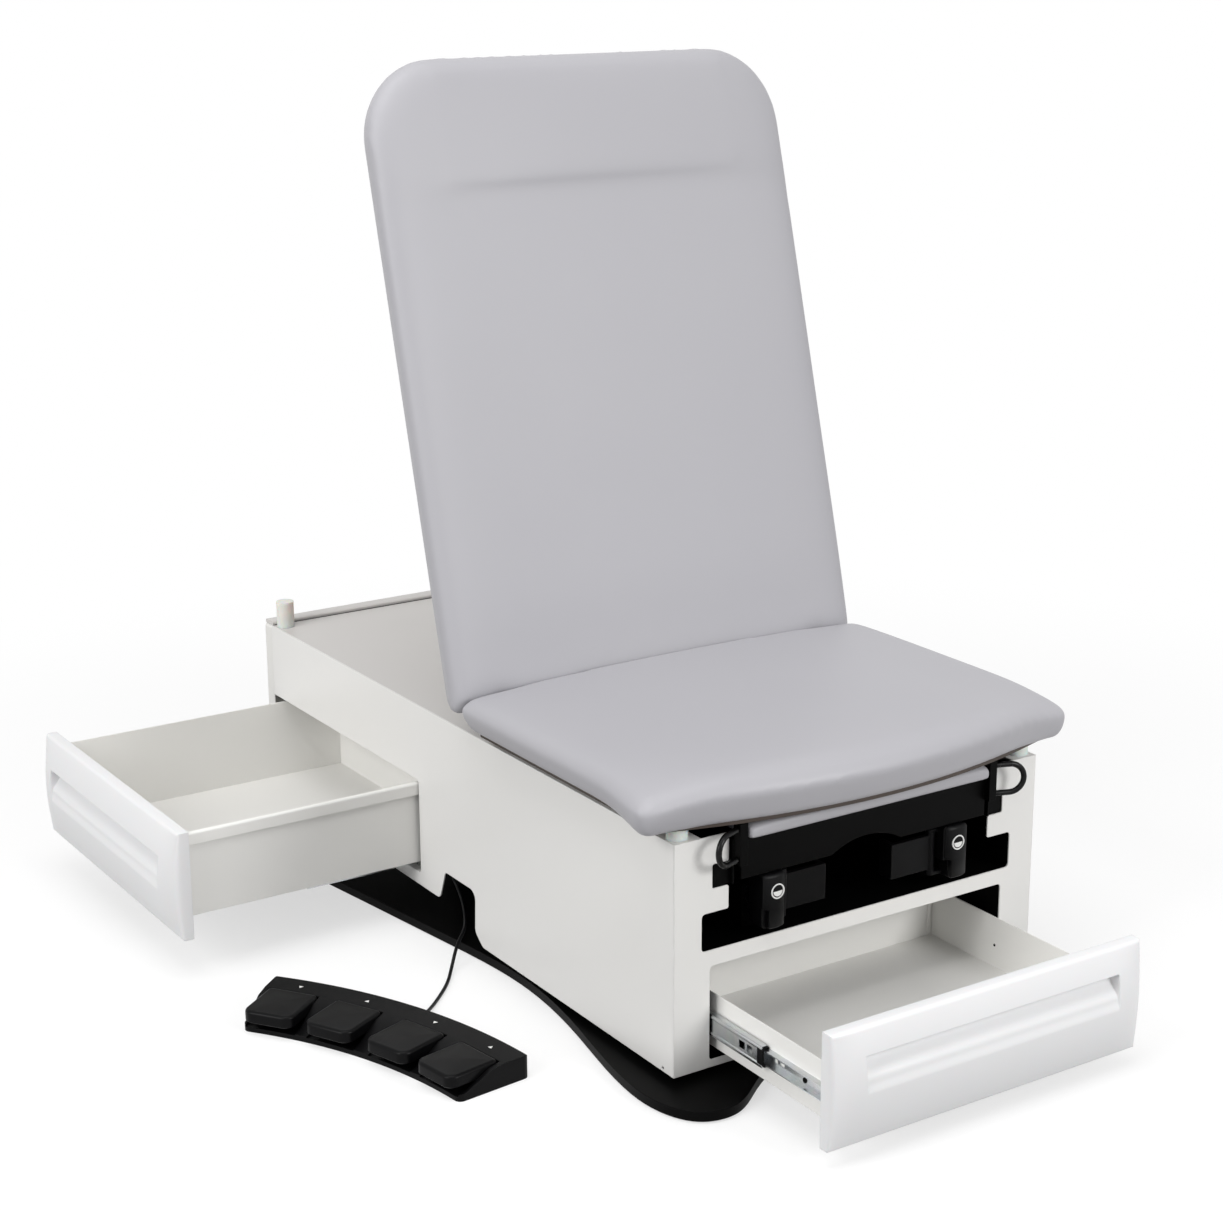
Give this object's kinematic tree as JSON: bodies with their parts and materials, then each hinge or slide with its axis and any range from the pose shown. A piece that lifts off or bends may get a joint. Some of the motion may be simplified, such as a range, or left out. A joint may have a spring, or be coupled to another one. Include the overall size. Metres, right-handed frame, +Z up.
{
  "type": "power examination table",
  "caption": "Height-adjustable examination table with reclining back, pull-out leg extension, folding stirrups, storage drawers and a corded foot control.",
  "frame": {"origin": "on the floor under the middle of the base plate", "axes": "+Z up, -Y towards the foot end with the front drawer, +X to the table's right as seen from the foot end"},
  "size_m": [1.1361, 1.554, 1.3456],
  "materials": {
    "cabinet_paint": "satin white powder coat",
    "cover_plastic": "fine textured white",
    "drawer_plastic": "smooth white",
    "drawer_paint": "white enamel",
    "slide_zinc": "zinc plated",
    "black_paint": "satin black powder coat",
    "black_plastic": "fine grained black",
    "upholstery": "soft grained vinyl",
    "board": "sealed board",
    "nylon": "natural nylon",
    "column_aluminium": "anodised",
    "steel": "bright steel",
    "handle_chrome": "polished",
    "rubber": "matte"
  },
  "bodies": {
    "base": {"base_plate": "black_paint", "floor_pads": "rubber", "lift_column_outer": "column_aluminium", "column_bolts": "steel", "control_box": "black_plastic", "foot_control_base": "black_plastic", "pedal_pins": "steel", "cord_strain_relief": "rubber", "foot_cord": "rubber"},
    "column_middle": {"lift_column_middle": "column_aluminium"},
    "carriage": {"lift_column_inner": "column_aluminium", "column_mount_plates": "steel", "left_side_panel": "cabinet_paint", "right_side_panel": "cabinet_paint", "front_panel": "cabinet_paint", "rear_cover": "cover_plastic", "mains_inlet": "black_plastic", "top_deck": "cabinet_paint", "front_bay_walls": "black_paint", "side_bay_floor": "cabinet_paint", "stirrup_tray": "black_paint", "stirrup_sleeves": "black_paint", "front_slide_outer": "slide_zinc", "side_slide_outer": "slide_zinc", "leg_guide_rails": "black_paint", "seat_frame": "black_paint", "support_posts": "nylon", "seat_board": "board", "seat_cushion": "upholstery", "back_actuator": "black_plastic", "actuator_brackets": "steel"},
    "back": {"hinge_pins": "steel", "back_frame": "black_paint", "back_board": "board", "back_cushion": "upholstery"},
    "actuator_rod": {"actuator_rod": "steel"},
    "leg_extension": {"leg_tray": "black_paint", "leg_runners": "black_plastic", "leg_pad": "upholstery", "left_pull_handle": "handle_chrome", "right_pull_handle": "handle_chrome"},
    "left_stirrup": {"left_stirrup_head": "black_plastic", "left_stirrup_arm": "steel"},
    "right_stirrup": {"right_stirrup_head": "black_plastic", "right_stirrup_arm": "steel"},
    "left_foot_rest": {"left_stirrup_foot": "black_plastic"},
    "right_foot_rest": {"right_stirrup_foot": "black_plastic"},
    "front_drawer": {"front_drawer_box": "drawer_paint", "front_drawer_face": "drawer_plastic", "front_slide_inner": "slide_zinc"},
    "front_slides": {"front_slide_middle": "slide_zinc"},
    "side_drawer": {"side_drawer_box": "drawer_paint", "side_drawer_face": "drawer_plastic", "side_slide_inner": "slide_zinc"},
    "side_slides": {"side_slide_middle": "slide_zinc"},
    "pedal_1": {"pedal_1": "black_plastic"},
    "pedal_2": {"pedal_2": "black_plastic"},
    "pedal_3": {"pedal_3": "black_plastic"},
    "pedal_4": {"pedal_4": "black_plastic"}
  },
  "joints": [
    {"name": "lift", "type": "slide", "parent": "base", "child": "carriage", "axis": [0, 0, 1], "range_m": [0, 0.483]},
    {"name": "column_middle_slide", "type": "slide", "parent": "base", "child": "column_middle", "axis": [0, 0, 1], "range_m": [0, 0.2415]},
    {"name": "back_tilt", "type": "hinge", "parent": "carriage", "child": "back", "pos_m": [0, -0.064, 0.437], "axis": [1, 0, 0], "range_deg": [-72.7, 5]},
    {"name": "actuator_stroke", "type": "slide", "parent": "carriage", "child": "actuator_rod", "axis": [0, -1, 0], "range_m": [-0.012, 0.14]},
    {"name": "leg_slide", "type": "slide", "parent": "carriage", "child": "leg_extension", "axis": [0, -1, 0], "range_m": [0, 0.33]},
    {"name": "left_stirrup_slide", "type": "slide", "parent": "carriage", "child": "left_stirrup", "axis": [0, -1, 0], "range_m": [0, 0.28]},
    {"name": "right_stirrup_slide", "type": "slide", "parent": "carriage", "child": "right_stirrup", "axis": [0, -1, 0], "range_m": [0, 0.28]},
    {"name": "left_foot_fold", "type": "hinge", "parent": "left_stirrup", "child": "left_foot_rest", "pos_m": [-0.133, -0.558, 0.254], "axis": [0, 0, -1], "range_deg": [0, 100]},
    {"name": "right_foot_fold", "type": "hinge", "parent": "right_stirrup", "child": "right_foot_rest", "pos_m": [0.133, -0.558, 0.254], "axis": [0, 0, 1], "range_deg": [0, 100]},
    {"name": "front_drawer_slide", "type": "slide", "parent": "carriage", "child": "front_drawer", "axis": [0, -1, 0], "range_m": [-0.2565, 0.12]},
    {"name": "front_slides_slide", "type": "slide", "parent": "carriage", "child": "front_slides", "axis": [0, -1, 0], "range_m": [-0.12825, 0.06]},
    {"name": "side_drawer_slide", "type": "slide", "parent": "carriage", "child": "side_drawer", "axis": [-1, 0, 0], "range_m": [-0.3915, 0.06]},
    {"name": "side_slides_slide", "type": "slide", "parent": "carriage", "child": "side_slides", "axis": [-1, 0, 0], "range_m": [-0.19575, 0.03]},
    {"name": "pedal_1_press", "type": "hinge", "parent": "base", "child": "pedal_1", "pos_m": [-0.64559, -0.05799, 0.028], "axis": [0.585, -0.8111, 0], "range_deg": [0, 7], "stiffness_Nm_per_rad": 20, "springref_deg": -2.86},
    {"name": "pedal_2_press", "type": "hinge", "parent": "base", "child": "pedal_2", "pos_m": [-0.58805, -0.15171, 0.028], "axis": [0.4587, -0.8886, 0], "range_deg": [0, 7], "stiffness_Nm_per_rad": 20, "springref_deg": -2.86},
    {"name": "pedal_3_press", "type": "hinge", "parent": "base", "child": "pedal_3", "pos_m": [-0.54212, -0.26151, 0.028], "axis": [0.3107, -0.9505, 0], "range_deg": [0, 7], "stiffness_Nm_per_rad": 20, "springref_deg": -2.86},
    {"name": "pedal_4_press", "type": "hinge", "parent": "base", "child": "pedal_4", "pos_m": [-0.51579, -0.36829, 0.028], "axis": [0.1668, -0.986, 0], "range_deg": [0, 7], "stiffness_Nm_per_rad": 20, "springref_deg": -2.86}
  ],
  "couplings": [
    {"joint": "column_middle_slide", "follows": "lift", "ratio": 0.5},
    {"joint": "actuator_stroke", "follows": "back_tilt", "m_per_rad": -0.1067},
    {"joint": "front_slides_slide", "follows": "front_drawer_slide", "ratio": 0.5},
    {"joint": "side_slides_slide", "follows": "side_drawer_slide", "ratio": 0.5}
  ]
}
